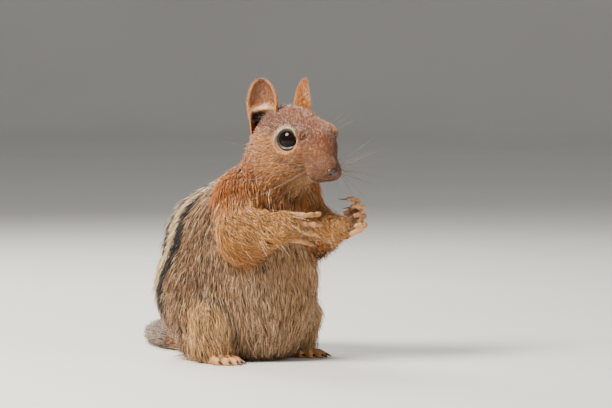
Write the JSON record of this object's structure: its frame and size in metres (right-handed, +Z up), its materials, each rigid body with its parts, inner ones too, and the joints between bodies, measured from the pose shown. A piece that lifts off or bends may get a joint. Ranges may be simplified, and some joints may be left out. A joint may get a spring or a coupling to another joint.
{
  "type": "golden-mantled ground squirrel",
  "caption": "Life-size still model of a striped ground squirrel sitting up on its haunches, head turned a little, both forepaws raised to its mouth, tail laid along the floor.",
  "frame": {"origin": "on the floor, on the flat of the rump and belly that the animal sits on, in its middle plane", "axes": "+Z up, the animal faces -Y and its left side is +X"},
  "size_m": [0.1115, 0.1914, 0.1331],
  "materials": {
    "back_fur": "dense grizzled fur, grey-brown to tan, with a cream stripe between two black ones on each side of the back",
    "mantle_fur": "dense coppery fur on head, neck, shoulders and arms",
    "leg_fur": "soft light tan fur on the lower legs",
    "tail_fur": "longer bushy fur, dark in the middle with a pale edge",
    "paw_skin": "short-haired tan skin",
    "nose_skin": "fine-grained, slightly moist skin",
    "claw": "dark horn, paler at the tip",
    "eye": "wet, black-brown and very glossy",
    "whisker": "fine stiff hair"
  },
  "bodies": {
    "root": {"torso": "back_fur", "thigh_right": "back_fur", "thigh_left": "back_fur", "lower_leg_right": "leg_fur", "lower_leg_left": "leg_fur", "foot_right": "paw_skin", "foot_left": "paw_skin", "neck": "mantle_fur", "head": "mantle_fur", "ear_right": "mantle_fur", "ear_left": "mantle_fur", "eye_right": "eye", "eye_left": "eye", "nose": "nose_skin", "whiskers_right": "whisker", "whiskers_left": "whisker", "upper_arm_right": "mantle_fur", "upper_arm_left": "mantle_fur", "forearm_right": "mantle_fur", "forearm_left": "mantle_fur", "hand_right": "paw_skin", "hand_left": "paw_skin", "tail_base": "tail_fur", "tail_middle": "tail_fur", "tail_tip": "tail_fur", "claw_hand_right_1": "claw", "claw_hand_right_2": "claw", "claw_hand_right_3": "claw", "claw_hand_right_4": "claw", "claw_hand_left_1": "claw", "claw_hand_left_2": "claw", "claw_hand_left_3": "claw", "claw_hand_left_4": "claw", "claw_foot_right_1": "claw", "claw_foot_right_2": "claw", "claw_foot_right_3": "claw", "claw_foot_right_4": "claw", "claw_foot_right_5": "claw", "claw_foot_left_1": "claw", "claw_foot_left_2": "claw", "claw_foot_left_3": "claw", "claw_foot_left_4": "claw", "claw_foot_left_5": "claw"}
  },
  "joints": []
}
